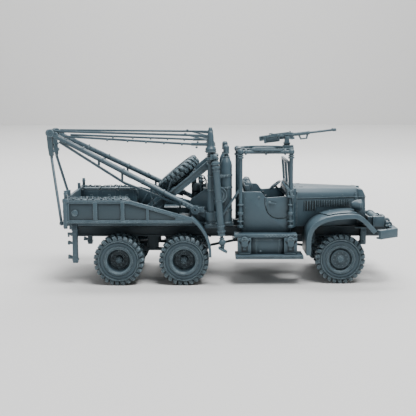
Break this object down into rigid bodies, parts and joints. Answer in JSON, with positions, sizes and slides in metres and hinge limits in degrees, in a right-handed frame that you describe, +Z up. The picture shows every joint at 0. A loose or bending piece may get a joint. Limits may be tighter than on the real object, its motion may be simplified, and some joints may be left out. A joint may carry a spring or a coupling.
{
  "type": "scale model tow truck",
  "caption": "Plastic scale model of a six-wheel-drive tow truck with open cab, twin swinging booms, outriggers, a bed between lockers, a spare wheel and a ring-mounted gun.",
  "frame": {"origin": "on the ground, under the centre of the whole model's box", "axes": "+X forward, +Y to the truck's left, +Z up"},
  "size_m": [0.1004, 0.0384, 0.0436],
  "materials": {
    "body_plastic": "unpainted satin blue-grey moulded plastic, slightly lighter along worn edges",
    "wheel_plastic": "the same moulded plastic, a little duller on the treads"
  },
  "bodies": {
    "chassis": {"frame": "body_plastic", "front_bumper": "body_plastic", "front_winch": "body_plastic", "winch_drum": "body_plastic", "radiator_shell": "body_plastic", "hood": "body_plastic", "engine": "body_plastic", "cab_body": "body_plastic", "windshield_frame": "body_plastic", "seats": "body_plastic", "steering_wheel": "body_plastic", "front_fenders": "body_plastic", "headlamps": "body_plastic", "ring_mount": "body_plastic", "running_boards": "body_plastic", "step_boxes": "body_plastic", "fuel_tanks": "body_plastic", "bed_floor": "body_plastic", "bed_side_right": "body_plastic", "bed_side_left": "body_plastic", "tailboard": "body_plastic", "tool_lockers": "body_plastic", "tow_posts": "body_plastic", "pintle_hook": "body_plastic", "front_axle": "body_plastic", "middle_axle": "body_plastic", "rear_axle": "body_plastic", "leaf_springs": "body_plastic", "drive_shafts": "body_plastic", "transfer_case": "body_plastic", "spare_wheel": "wheel_plastic", "spare_carrier": "body_plastic", "mast": "body_plastic", "mast_braces": "body_plastic", "crane_winch": "body_plastic", "control_levers": "body_plastic", "gas_cylinders": "body_plastic"},
    "wheel_front_right": {"wheel_front_right": "wheel_plastic"},
    "wheel_front_left": {"wheel_front_left": "wheel_plastic"},
    "wheel_middle_right": {"wheel_middle_right": "wheel_plastic"},
    "wheel_middle_left": {"wheel_middle_left": "wheel_plastic"},
    "wheel_rear_right": {"wheel_rear_right": "wheel_plastic"},
    "wheel_rear_left": {"wheel_rear_left": "wheel_plastic"},
    "boom_right": {"boom_right": "body_plastic", "boom_lines_right": "body_plastic"},
    "boom_left": {"boom_left": "body_plastic", "boom_lines_left": "body_plastic"},
    "outrigger_right": {"outrigger_right": "body_plastic"},
    "outrigger_left": {"outrigger_left": "body_plastic"},
    "gun_cradle": {"gun_cradle": "body_plastic"},
    "gun": {"gun": "body_plastic"}
  },
  "joints": [
    {"name": "wheel_front_right_roll", "type": "hinge", "parent": "chassis", "child": "wheel_front_right", "pos_m": [0.034, -0.01275, 0.00705], "axis": [0, 1, 0], "continuous": true},
    {"name": "wheel_front_left_roll", "type": "hinge", "parent": "chassis", "child": "wheel_front_left", "pos_m": [0.034, 0.01275, 0.00705], "axis": [0, 1, 0], "continuous": true},
    {"name": "wheel_middle_right_roll", "type": "hinge", "parent": "chassis", "child": "wheel_middle_right", "pos_m": [-0.01015, -0.01285, 0.00705], "axis": [0, 1, 0], "continuous": true},
    {"name": "wheel_middle_left_roll", "type": "hinge", "parent": "chassis", "child": "wheel_middle_left", "pos_m": [-0.01015, 0.01285, 0.00705], "axis": [0, 1, 0], "continuous": true},
    {"name": "wheel_rear_right_roll", "type": "hinge", "parent": "chassis", "child": "wheel_rear_right", "pos_m": [-0.02845, -0.01285, 0.00705], "axis": [0, 1, 0], "continuous": true},
    {"name": "wheel_rear_left_roll", "type": "hinge", "parent": "chassis", "child": "wheel_rear_left", "pos_m": [-0.02845, 0.01285, 0.00705], "axis": [0, 1, 0], "continuous": true},
    {"name": "boom_swing_right", "type": "hinge", "parent": "chassis", "child": "boom_right", "pos_m": [-0.0026, -0.0126, 0.0192], "axis": [0, 0, 1], "range_deg": [0, 78]},
    {"name": "outrigger_swing_right", "type": "hinge", "parent": "chassis", "child": "outrigger_right", "pos_m": [-0.0014, -0.0145, 0.036], "axis": [-1, 0, 0], "range_deg": [0, 40]},
    {"name": "boom_swing_left", "type": "hinge", "parent": "chassis", "child": "boom_left", "pos_m": [-0.0026, 0.0126, 0.0192], "axis": [0, 0, -1], "range_deg": [0, 78]},
    {"name": "outrigger_swing_left", "type": "hinge", "parent": "chassis", "child": "outrigger_left", "pos_m": [-0.0014, 0.0145, 0.036], "axis": [1, 0, 0], "range_deg": [0, 40]},
    {"name": "gun_traverse", "type": "hinge", "parent": "chassis", "child": "gun_cradle", "pos_m": [0.0193, -0.005, 0.0378], "axis": [0, 0, 1], "range_deg": [-60, 60]},
    {"name": "gun_elevation", "type": "hinge", "parent": "gun_cradle", "child": "gun", "pos_m": [0.0193, -0.005, 0.0407], "axis": [0, -1, 0], "range_deg": [-10, 15]}
  ]
}
